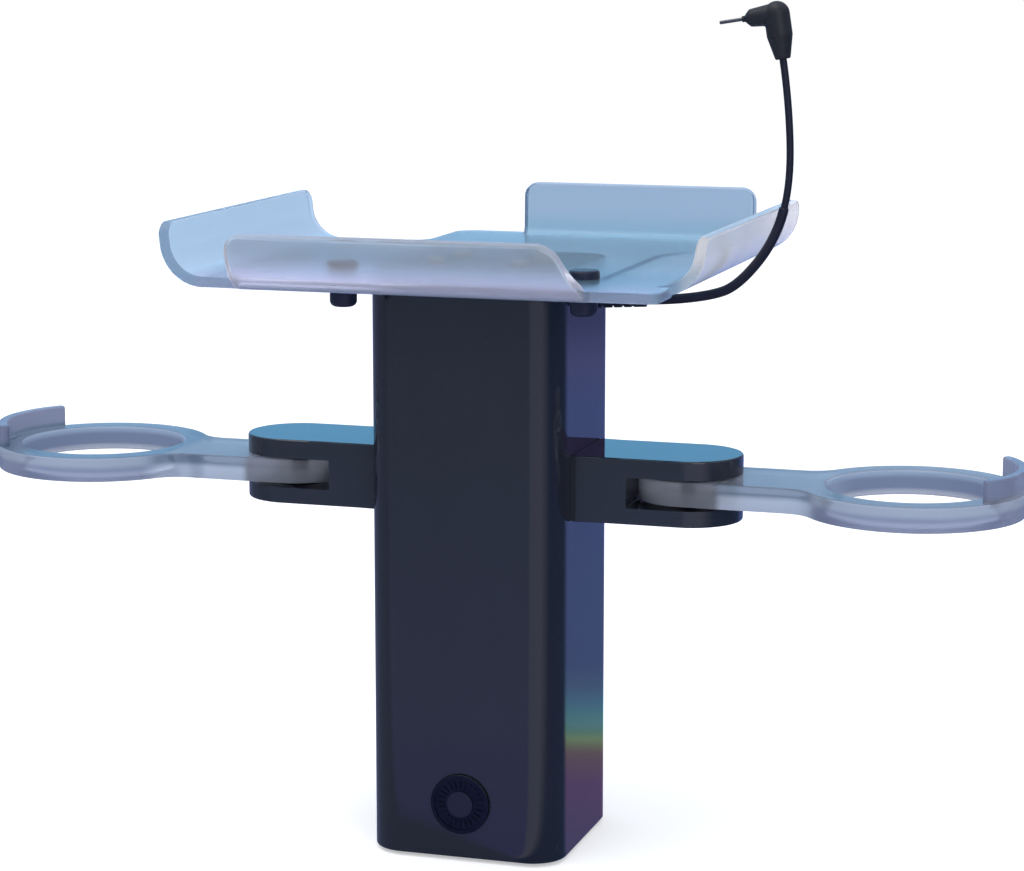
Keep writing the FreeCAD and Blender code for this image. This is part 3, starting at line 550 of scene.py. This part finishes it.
def block(name, low, high):
    x0, y0, z0 = low
    x1, y1, z1 = high
    points = [(x, y, z) for z in (z0, z1) for x, y in ((x0, y0), (x1, y0), (x1, y1), (x0, y1))]
    faces = [(0, 3, 2, 1), (4, 5, 6, 7), (0, 1, 5, 4), (1, 2, 6, 5), (2, 3, 7, 6), (3, 0, 4, 7)]
    return loose(name, mesh_of(name, points, faces))


def finished_mesh(piece, name):
    """Takes a finished loose object's mesh and removes the object."""
    mesh = applied(piece)
    mesh.name = name
    bpy.data.objects.remove(piece)
    return mesh


# Camera, at the photograph's viewing angle

def set_camera():
    azimuth, elevation = math.radians(VIEW_AZIMUTH), math.radians(VIEW_ELEVATION)
    back = Vector((math.sin(azimuth) * math.cos(elevation),
                   -math.cos(azimuth) * math.cos(elevation), math.sin(elevation)))
    data = bpy.data.cameras.new("studio_camera")
    data.sensor_width = SENSOR
    data.lens = FOCAL_PIXELS / PICTURE_PIXELS * SENSOR
    data.clip_start, data.clip_end = 0.05, 50.0
    camera = bpy.data.objects.new("studio_camera", data)
    camera.location = VIEW_TARGET + back * VIEW_DISTANCE
    camera.rotation_mode = "QUATERNION"
    camera.rotation_quaternion = (-back).to_track_quat("-Z", "Y")
    bpy.context.scene.collection.objects.link(camera)
    bpy.context.scene.camera = camera


# Charging lead

def turned(profile, sides=48):
    """Closed loops round +Z from (radius, height) pairs."""
    rings = []
    for radius, height in profile:
        angles = [2 * math.pi * k / sides for k in range(sides)]
        rings.append([(radius * math.cos(a), radius * math.sin(a), height) for a in angles])
    return rings


def plug_point(x, y, z):
    """Place of a point of the upright plug once it stands, tilted, on the lead's end."""
    lean, rise = math.sin(PLUG_TILT), math.cos(PLUG_TILT)
    return (PLUG_END.x + x * rise - z * lean, PLUG_END.y + y, PLUG_END.z + x * lean + z * rise)


def make_plug():
    """Moulded body: tapered boot and neck, a round elbow and the head that holds the pin."""
    elbow = PLUG_BOOT + PLUG_NECK
    ball = [(PLUG_NECK_R * math.cos(a), elbow + PLUG_NECK_R * math.sin(a))
            for a in [math.radians(6 * i) for i in range(1, 15)]]
    upright = turned([(PLUG_BOOT_R - 0.3, 0.0), (PLUG_BOOT_R, 0.3), (PLUG_NECK_R, PLUG_BOOT)] +
                     [(PLUG_NECK_R, PLUG_BOOT + PLUG_NECK / 2), (PLUG_NECK_R, elbow)] + ball)
    flat = PLUG_REACH - PLUG_NOSE
    head = turned([(PLUG_HEAD_R, 0.0), (PLUG_NOSE_R + 0.1, flat - 0.4),
                   (PLUG_NOSE_R - 0.15, flat), (PLUG_TIP_R, PLUG_REACH)])
    head = [[(-z, y, elbow + x) for x, y, z in ring] for ring in head]
    points, faces = [], []
    for rings in (upright, head):
        more, quads = skin(rings, False)
        base, count = len(points), len(rings[0])
        last = (len(rings) - 1) * count
        points += [plug_point(*p) for p in more]
        quads += [tuple(range(count)), tuple(last + i for i in range(count))]
        faces += [tuple(base + i for i in quad) for quad in quads]
    body = loose("plug_moulding", mesh_of("plug_moulding", points, faces))
    melt = body.modifiers.new("melt", "REMESH")
    melt.mode = "VOXEL"
    melt.voxel_size = PLUG_GRAIN * MM
    soften = body.modifiers.new("soften", "SMOOTH")
    soften.factor = 0.5
    soften.iterations = 7
    mesh = finished_mesh(body, "plug_moulding")
    mesh.shade_smooth()
    return add_piece("plug_moulding", mesh, "plug_rubber", "stand", "plug_body")


def make_lead(plug):
    """Smooth lead from the gland to the plug. Gives its centre line in millimetres."""
    curve = bpy.data.curves.new("charging_lead", "CURVE")
    curve.dimensions = "3D"
    spline = curve.splines.new("NURBS")
    spline.points.add(len(LEAD_ROUTE) - 1)
    for point, place in zip(spline.points, LEAD_ROUTE):
        point.co = (*(c * MM for c in place), 1.0)
    spline.order_u = 3
    spline.use_endpoint_u = True
    spline.resolution_u = 16
    curve.resolution_u = 16
    lead = bpy.data.objects.new("charging_lead", curve)
    bpy.context.scene.collection.objects.link(lead)
    line = [v.co.copy() / MM for v in bpy.data.meshes.new_from_object(
        lead.evaluated_get(bpy.context.evaluated_depsgraph_get())).vertices]
    curve.bevel_depth = LEAD_R * MM
    curve.bevel_resolution = 6
    curve.use_fill_caps = True
    curve.materials.append(finishes["lead_rubber"])
    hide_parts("lead")
    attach(lead, "stand")
    return line


def tube_along(line, radii, sides=28):
    """Closed tube round a line, with a radius for each of its points."""
    rings = []
    side = Vector((0, 1, 0))
    for i, centre in enumerate(line):
        ahead = (line[min(i + 1, len(line) - 1)] - line[max(i - 1, 0)]).normalized()
        across = (side - ahead * side.dot(ahead)).normalized()
        upward = ahead.cross(across)
        ring = []
        for k in range(sides):
            a = 2 * math.pi * k / sides
            ring.append(tuple(centre + (across * math.cos(a) + upward * math.sin(a)) * radii[i]))
        rings.append(ring)
    return rings


def make_sleeve(line):
    """Thicker sleeve over the lead, with a rolled upper end."""
    kept = [p for p in line if p.x > SLEEVE_START and p.z < SLEEVE_TOP]
    radii = [SLEEVE_R] * len(kept)
    top = kept[-1]
    ahead = (kept[-1] - kept[-2]).normalized()
    for reach, radius in SLEEVE_ROLL:
        kept.append(top + ahead * reach)
        radii.append(radius)
    mesh = capped("lead_sleeve_tube", tube_along(kept, radii))
    smooth(mesh, 50.0)
    add_piece("lead_sleeve_tube", mesh, "lead_rubber", "stand", "lead_sleeve")


# Column

def make_column():
    outer = rounded_square(COLUMN_HALF, COLUMN_CORNER)
    inner = rounded_square(COLUMN_HALF - COLUMN_WALL, COLUMN_CORNER - COLUMN_WALL)
    low, high = COLUMN_Z
    rings = []
    for i in range(5):
        a = math.pi / 2 * i / 4
        rings.append(lifted(inset(outer, COLUMN_FOOT_RIM * (1 - math.sin(a))),
                            low + COLUMN_FOOT_RIM * (1 - math.cos(a))))
    rings += [lifted(outer, high - COLUMN_HEAD_RIM), lifted(inset(outer, COLUMN_HEAD_RIM), high)]
    rings += [lifted(inner, high), lifted(inner, low)]
    mesh = mesh_of("column_shell", *skin(rings, True))
    smooth(mesh)
    even_normals(add_piece("column_shell", mesh, "column_gloss", "stand", "column_tube"))


# Brackets and arms

def mirrored(loop, side):
    """The loop on the given side, always anticlockwise."""
    return loop if side > 0 else [(-x, y) for x, y in reversed(loop)]


def make_bracket(word, side):
    """Clevis: a slab with a round nose, an open slot and a recess for the pin's head."""
    name = word + "_clevis"
    half = BRACKET_HALF
    loop = [(COLUMN_HALF, half), (COLUMN_HALF, -half)]
    loop += [(COLUMN_HALF + 10 + 5 * i, -half) for i in range(6)]
    loop += arc(PIVOT_X, 0, half, -90, 90, 40)
    loop += [(COLUMN_HALF + 35 - 5 * i, half) for i in range(6)]
    body = loose(name, slab(name, mirrored(loop, side), *BRACKET_Z, RIM))
    low, high = SLOT_Z
    xs = sorted((side * SLOT_START, side * (PIVOT_X + half + CUT_PAST)))
    slot = block("slot", (xs[0], -half - CUT_PAST, low), (xs[1], half + CUT_PAST, high))
    bevel(slot, SLOT_RIM, 50.0)
    applied(slot)
    combine(body, slot, "DIFFERENCE")
    drill(body, side * PIVOT_X, 0, PIN_HEAD_R, 36, BRACKET_Z[0] - 1, BRACKET_Z[0] + PIN_HEAD_DEPTH)
    mesh = finished_mesh(body, name)
    smooth(mesh, 30.0)
    even_normals(add_piece(name, mesh, "bracket_gloss", "stand", "bracket_" + word))


def arm_outline():
    """Right arm from above, anticlockwise: round hub, straight neck, blends and ring."""
    gap = ARM_HUB_R + NECK_BLEND
    centre_x = RING_X - math.sqrt((RING_R + NECK_BLEND) ** 2 - gap ** 2)
    turn = math.degrees(math.atan2(gap, RING_X - centre_x))
    loop = arc(PIVOT_X, 0, ARM_HUB_R, 90, 270, 40)
    loop += [(PIVOT_X + (centre_x - PIVOT_X) * i / 6, -ARM_HUB_R) for i in range(1, 6)]
    loop += arc(centre_x, -gap, NECK_BLEND, 90, turn, 8)
    ring = arc(RING_X, 0, RING_R, turn - 180, 180 - turn, 128)
    loop += ring[1:]
    loop += arc(centre_x, gap, NECK_BLEND, -turn, -90, 8)[1:]
    loop += [(PIVOT_X + (centre_x - PIVOT_X) * i / 6, ARM_HUB_R) for i in range(5, 0, -1)]
    return loop


def make_arm(word, side):
    """Arm with its ring, the lip on the ring's outer side, the ring's hole and the pin's bore."""
    name = word + "_ring_arm"
    body = loose(name, slab(name, mirrored(arm_outline(), side), *ARM_Z, RIM))
    inner, outer = RING_R - LIP_THICK, RING_R - 0.02
    turn = LIP_HALF_ANGLE
    end = math.radians(turn)
    cx, cy = RING_X + (inner + outer) / 2 * math.cos(end), (inner + outer) / 2 * math.sin(end)
    wall = arc(RING_X, 0, outer, -turn, turn, 30)
    wall += arc(cx, cy, (outer - inner) / 2, turn, turn + 180, 8)[1:-1]
    wall += arc(RING_X, 0, inner, turn, -turn, 30)
    wall += arc(cx, -cy, (outer - inner) / 2, 180 - turn, 360 - turn, 8)[1:-1]
    lip = loose("lip", slab("lip", mirrored(wall, side), ARM_Z[1] - 4, LIP_TOP, RIM))
    combine(body, lip, "UNION")

    # The cutter widens past both faces, which leaves the hole's rims bevelled
    steps, past = 128, 2.0
    rings = []
    for radius, z in ((RING_HOLE_R + past, ARM_Z[0] + RIM - past), (RING_HOLE_R, ARM_Z[0] + RIM),
                      (RING_HOLE_R, ARM_Z[1] - RIM), (RING_HOLE_R + past, ARM_Z[1] - RIM + past)):
        rings.append(lifted(arc(side * RING_X, 0, radius, 0, 360 - 360 / steps, steps - 1), z))
    combine(body, loose("hole", capped("hole", rings)), "DIFFERENCE")
    drill(body, side * PIVOT_X, 0, ARM_BORE_R, 36, ARM_Z[0] - 1, ARM_Z[1] + 1)
    mesh = finished_mesh(body, name)
    smooth(mesh, 30.0)
    even_normals(add_piece(name, mesh, "arm_acrylic", word + "_arm", "arm_" + word))


# Tray

class Bend:
    """Half section of the sheet from its bend out to the flap's edge, on the outer surface."""

    def __init__(self, reach, inner_radius, angle, top):
        self.a = math.radians(angle)
        self.radius = inner_radius + SHEET
        rise = top - self.radius * (1 - math.cos(self.a))
        self.leg = (rise - SHEET * math.cos(self.a)) / math.sin(self.a)
        self.start = reach - self.radius * math.sin(self.a) - self.leg * math.cos(self.a)
        self.turn = self.radius * self.a
        self.length = self.turn + self.leg

    def at(self, s):
        """(out, up) at distance s round the outer surface, and the way to the inner one."""
        angle = min(s, self.turn) / self.radius
        out = self.start + self.radius * math.sin(angle)
        up = self.radius * (1 - math.cos(angle))
        rest = max(0.0, s - self.turn)
        out += rest * math.cos(self.a)
        up += rest * math.sin(self.a)
        return (out, up), (-math.sin(angle), math.cos(angle))


LEFT_WING = Bend(reach=104.5, inner_radius=13.5, angle=84.0, top=24.5)
RIGHT_WING = Bend(reach=104.5, inner_radius=13.5, angle=84.0, top=22.5)
FRONT_FLAP = Bend(reach=108.0, inner_radius=13.5, angle=78.0, top=22.8)
REAR_FLAP = Bend(reach=108.0, inner_radius=3.0, angle=88.0, top=26.0)
TRAY_FRONT, TRAY_REAR = -FRONT_FLAP.start, REAR_FLAP.start


def spread(low, high, radius, pitch=6.0):
    """Places along a flap, close together at its two rounded ends."""
    ends = [radius * (1 - math.cos(math.radians(a))) for a in range(0, 91, 9)]
    count = max(1, round((high - low - 2 * radius) / pitch))
    middle = [low + radius + (high - low - 2 * radius) * i / count for i in range(1, count)]
    return [low + e for e in ends] + middle + [high - e for e in reversed(ends)]


def flap_grid(bend, low, high, radius, place, taper=0.0):
    """Outer and inner points of a flap whose upper corners are rounded."""
    outer, inner, faces = [], [], []
    columns = spread(low, high, radius)
    fixed = [(bend.length - radius) * i / 18 for i in range(19)]
    tops = 8
    rows = len(fixed) + tops
    for along in columns:
        end = min(along - low, high - along)
        rise = math.sqrt(max(0.0, radius ** 2 - max(0.0, radius - end) ** 2))
        for s in fixed + [bend.length - radius + rise * k / tops for k in range(1, tops + 1)]:
            (out, up), (nx, nz) = bend.at(s)
            share = (along - low) / (high - low)
            shifted = along - taper * share * min(1.0, max(0.0, up - SHEET) / (bend.length * 0.6))
            outer.append(place(shifted, out, up))
            inner.append(place(shifted, out + SHEET * nx, up + SHEET * nz))
    for c in range(len(columns) - 1):
        for r in range(rows - 1):
            a = c * rows + r
            faces.append((a, a + 1, a + rows + 1, a + rows))
    return outer, inner, faces, [place(along, bend.start, 0.0) for along in columns]


def merged(outer, inner, faces):
    """Points of the sheet's two sides with those that share a place made one."""
    seen, number, lower, upper = {}, [], [], []
    for out_point, in_point in zip(outer, inner):
        key = tuple(round(c, 3) for c in out_point)
        if key not in seen:
            seen[key] = len(lower)
            lower.append(out_point)
            upper.append(in_point)
        number.append(seen[key])
    joined = []
    for face in faces:
        loop = []
        for i in face:
            if not loop or loop[-1] != number[i]:
                loop.append(number[i])
        if loop[0] == loop[-1]:
            loop.pop()
        if len(loop) > 2:
            joined.append(tuple(loop))
    return lower, upper, joined


def open_edges(faces):
    """Edges that only one face has."""
    uses = {}
    for face in faces:
        for a, b in zip(face, face[1:] + face[:1]):
            uses.setdefault((min(a, b), max(a, b)), []).append((a, b))
    return [ways[0] for ways in uses.values() if len(ways) == 1]


def mark_cut_edges(mesh, strips):
    """Attribute that is 1 on the narrow strip round the sheet's cut edge."""
    tree = KDTree(len(strips) * 6)
    n = 0
    for strip in strips:
        a, b, c, d = [Vector(p) * MM for p in strip]
        for first, second in ((a, c), (b, d)):
            for share in (0.0, 0.33, 0.67):
                tree.insert(first.lerp(second, share), n)
                n += 1
    tree.balance()
    layer = mesh.attributes.new("cut_edge", "FLOAT", "POINT")
    reach = 1.2 * MM
    for i, vertex in enumerate(mesh.vertices):
        layer.data[i].value = 1.0 if tree.find(vertex.co)[2] < reach else 0.0


def floor_outline(lines):
    """Edge of the tray's floor, through the bend lines of its front, right, rear and left flap."""
    front_line, right_line, rear_line, left_line = lines
    relief = RIGHT_WING_FRONT - RIGHT_RELIEF_R
    edge = [(-LEFT_WING.start, TRAY_FRONT)] + [p[:2] for p in front_line]
    edge += arc(FLOOR_RIGHT - FLOOR_CORNER, TRAY_FRONT + FLOOR_CORNER, FLOOR_CORNER, -90, 0, 6)
    edge += arc(FLOOR_RIGHT - RIGHT_RELIEF_R, relief - RIGHT_RELIEF_R, RIGHT_RELIEF_R, 0, 90, 3)
    edge += [(RIGHT_WING.start, relief)] + [p[:2] for p in right_line]
    edge += [p[:2] for p in reversed(rear_line)] + [(REAR_SPAN[0], NOTCH_REAR)]
    (x0, y0), (x1, y1) = NOTCH_CORNERS
    edge += arc(x0, y0, NOTCH_R, 90, 180, 8) + arc(x1, y1, NOTCH_R, 0, -90, 8)
    edge += [p[:2] for p in reversed(left_line)]
    loop = []
    for p in edge:
        if not loop or math.dist(p, loop[-1]) > 1e-4:
            loop.append(p)
    if math.dist(loop[0], loop[-1]) < 1e-4:
        loop.pop()
    return loop


def make_tray():
    """Floor and four flaps as one sheet of even thickness, with its screw holes."""
    def left(along, out, up):
        return (-out, along, TRAY_Z + up)

    def right(along, out, up):
        return (out, along, TRAY_Z + up)

    def front(along, out, up):
        return (along, -out, TRAY_Z + up)

    def rear(along, out, up):
        return (along, out, TRAY_Z + up)

    flaps = [
        flap_grid(FRONT_FLAP, *FRONT_SPAN, FLAP_CORNER, front, FRONT_TAPER),
        flap_grid(RIGHT_WING, RIGHT_WING_FRONT, TRAY_REAR, FLAP_CORNER, right),
        flap_grid(REAR_FLAP, *REAR_SPAN, FLAP_CORNER, rear),
        flap_grid(LEFT_WING, TRAY_FRONT, LEFT_WING_REAR, FLAP_CORNER, left),
    ]
    loop = floor_outline([flap[3] for flap in flaps])
    outer, inner = lifted(loop, TRAY_Z), lifted(loop, TRAY_Z + SHEET)
    faces = [tuple(range(len(loop)))]
    for more_outer, more_inner, more_faces, _ in flaps:
        base = len(outer)
        outer += more_outer
        inner += more_inner
        faces += [tuple(base + i for i in f) for f in more_faces]
    lower, upper, sheet_faces = merged(outer, inner, faces)
    rim = open_edges(sheet_faces)
    count = len(lower)
    all_faces = sheet_faces + [tuple(count + i for i in reversed(f)) for f in sheet_faces]
    all_faces += [(a, b, count + b, count + a) for a, b in rim]
    tray = loose("frosted_tray", mesh_of("frosted_tray", lower + upper, all_faces))
    bevel(tray, TRAY_RIM, 55.0)
    applied(tray)
    holes = [(*place, TRAY_SCREW_HOLE_R) for place in TRAY_SCREWS]
    holes += [(*place, STOP_HOLE_R) for place in STOPS]
    for x, y, radius in holes:
        drill(tray, x, y, radius, 24, TRAY_Z - 1, TRAY_Z + SHEET + 1)
    mesh = finished_mesh(tray, "frosted_tray")
    mark_cut_edges(mesh, [(lower[i], upper[i], lower[j], upper[j]) for i, j in rim])
    smooth(mesh, 35.0)
    even_normals(add_piece("frosted_tray", mesh, "tray_acrylic", "stand", "tray"))


# Studio

def mirrored_floor(f):
    """Colour that glossy pieces mirror from the floor: by depth behind, by bearing elsewhere."""
    x, y = f.axes(f.place())[:2]
    depth = x * 0.3 + y * 0.954
    behind = f.ramp(depth / 1.6, [
        (0.0, (0.20, 0.18, 0.41)), (0.06, (0.29, 0.17, 0.42)), (0.088, (0.36, 0.26, 0.31)),
        (0.096, (0.42, 0.46, 0.33)), (0.103, (0.46, 0.72, 0.42)), (0.110, (0.28, 0.60, 0.50)),
        (0.117, (0.28, 0.63, 0.70)), (0.130, (0.21, 0.58, 0.72)), (0.142, (0.19, 0.46, 0.73)),
        (0.160, (0.18, 0.32, 0.61)), (0.190, (0.16, 0.24, 0.58)), (0.700, (0.17, 0.24, 0.64)),
        (0.850, (0.20, 0.22, 0.57)), (1.0, (0.13, 0.15, 0.40))])
    ahead = f.ramp(-depth, [
        (0.0, (0.35, 0.30, 1.00)), (0.25, (0.36, 0.42, 0.80)), (1.0, (0.28, 0.36, 0.50))])
    bearing = f.node("ShaderNodeMath", {"operation": "ARCTAN2"}, {0: x - 0.02, 1: -0.05 - y})
    around = f.ramp(bearing / (2 * math.pi) + 0.5, [
        (0.0, (0.20, 0.24, 0.50)), (0.15, (0.18, 0.22, 0.40)), (0.36, (0.22, 0.26, 0.40)),
        (0.53, (0.60, 0.62, 0.90)), (0.62, (0.68, 0.68, 0.90)), (0.70, (0.04, 0.09, 0.24)),
        (0.88, (0.04, 0.10, 0.26)), (0.92, (0.15, 0.22, 0.55)), (1.0, (0.20, 0.24, 0.50))])
    at_front = f.step(bearing, -1.1, -0.8) * (1 - f.step(bearing, 0.0, 0.15))
    at_rear = f.step(bearing, 2.35, 2.6) + (1 - f.step(bearing, -3.0, -2.6))
    return f.mix(at_rear, f.mix(1 - at_front, ahead, around), behind)


def make_floor():
    """White floor that the clear pieces show as white, and the glossy ones as tinted."""
    size = 6.0
    corners = [(-size, -size, 0), (size, -size, 0), (size, size, 0), (-size, size, 0)]
    mesh = bpy.data.meshes.new("studio_floor")
    mesh.from_pydata(corners, [], [(0, 1, 2, 3)])
    loose("studio_floor", mesh)
    f = finish("studio_floor")
    mirrored_rays, direct = f.rays()
    white = f.node("ShaderNodeBsdfDiffuse", inputs={"Color": (0.86, 0.86, 0.87)})
    glow = f.node("ShaderNodeEmission",
                  inputs={"Color": (1.0, 1.0, 1.0), "Strength": direct * 0.42})
    plain = f.node("ShaderNodeAddShader", inputs={0: white, 1: glow})
    tinted = f.node("ShaderNodeEmission", inputs={"Color": mirrored_floor(f), "Strength": 1.0})
    both = f.node("ShaderNodeMixShader", inputs={0: mirrored_rays, 1: plain, 2: tinted})
    f.node("ShaderNodeOutputMaterial", inputs={"Surface": both})
    mesh.materials.append(f.holder)


def make_sky():
    """World that lights the stand, looks white, and tints what glossy pieces mirror."""
    world = bpy.data.worlds.new("studio_light")
    bpy.context.scene.world = world
    f = Finish(world)
    x, y, z = f.axes(f.node("ShaderNodeTexCoord"))
    mirrored_rays, direct = f.rays()
    behind = f.mix(f.step(-x, -0.02, 0.12), (0.14, 0.10, 0.30), (0.27, 0.72, 1.20))
    behind = f.mix(f.step(z, 0.12, 0.15), (0.36, 0.50, 0.72), behind)
    walls = f.mix(f.step(y, 0.2, 0.7), (0.28, 0.34, 0.46), behind)
    mirrored_sky = f.mix(f.step(z, 0.25, 0.7), walls, (0.75, 0.80, 0.90))
    light = f.mix(mirrored_rays, (0.72, 0.74, 0.78), mirrored_sky)
    colour = f.mix(f.step(direct, 0.4, 0.6), light, (1.0, 1.0, 1.0))
    sky = f.node("ShaderNodeBackground", inputs={"Color": colour, "Strength": 1.0})
    f.node("ShaderNodeOutputWorld", inputs={"Surface": sky})


def lamp(name, place, target, size, power):
    data = bpy.data.lights.new(name, "AREA")
    data.shape = "RECTANGLE"
    data.size, data.size_y = size
    data.energy = power
    piece = bpy.data.objects.new(name, data)
    piece.location = place
    way = Vector(target) - Vector(place)
    piece.rotation_mode = "QUATERNION"
    piece.rotation_quaternion = way.to_track_quat("-Z", "Y")
    bpy.context.scene.collection.objects.link(piece)


set_camera()
make_sleeve(make_lead(make_plug()))
make_column()
for word, side in (("left", -1), ("right", 1)):
    make_bracket(word, side)
    make_arm(word, side)
make_tray()
make_floor()
make_sky()
lamp("overhead", (-0.3, -0.4, 1.9), (0.0, 0.0, 0.15), (1.6, 1.2), 16.0)
lamp("front_fill", (1.1, -1.7, 0.9), (0.0, 0.0, 0.15), (1.0, 1.0), 9.0)

bpy.context.scene.view_settings.view_transform = "Standard"
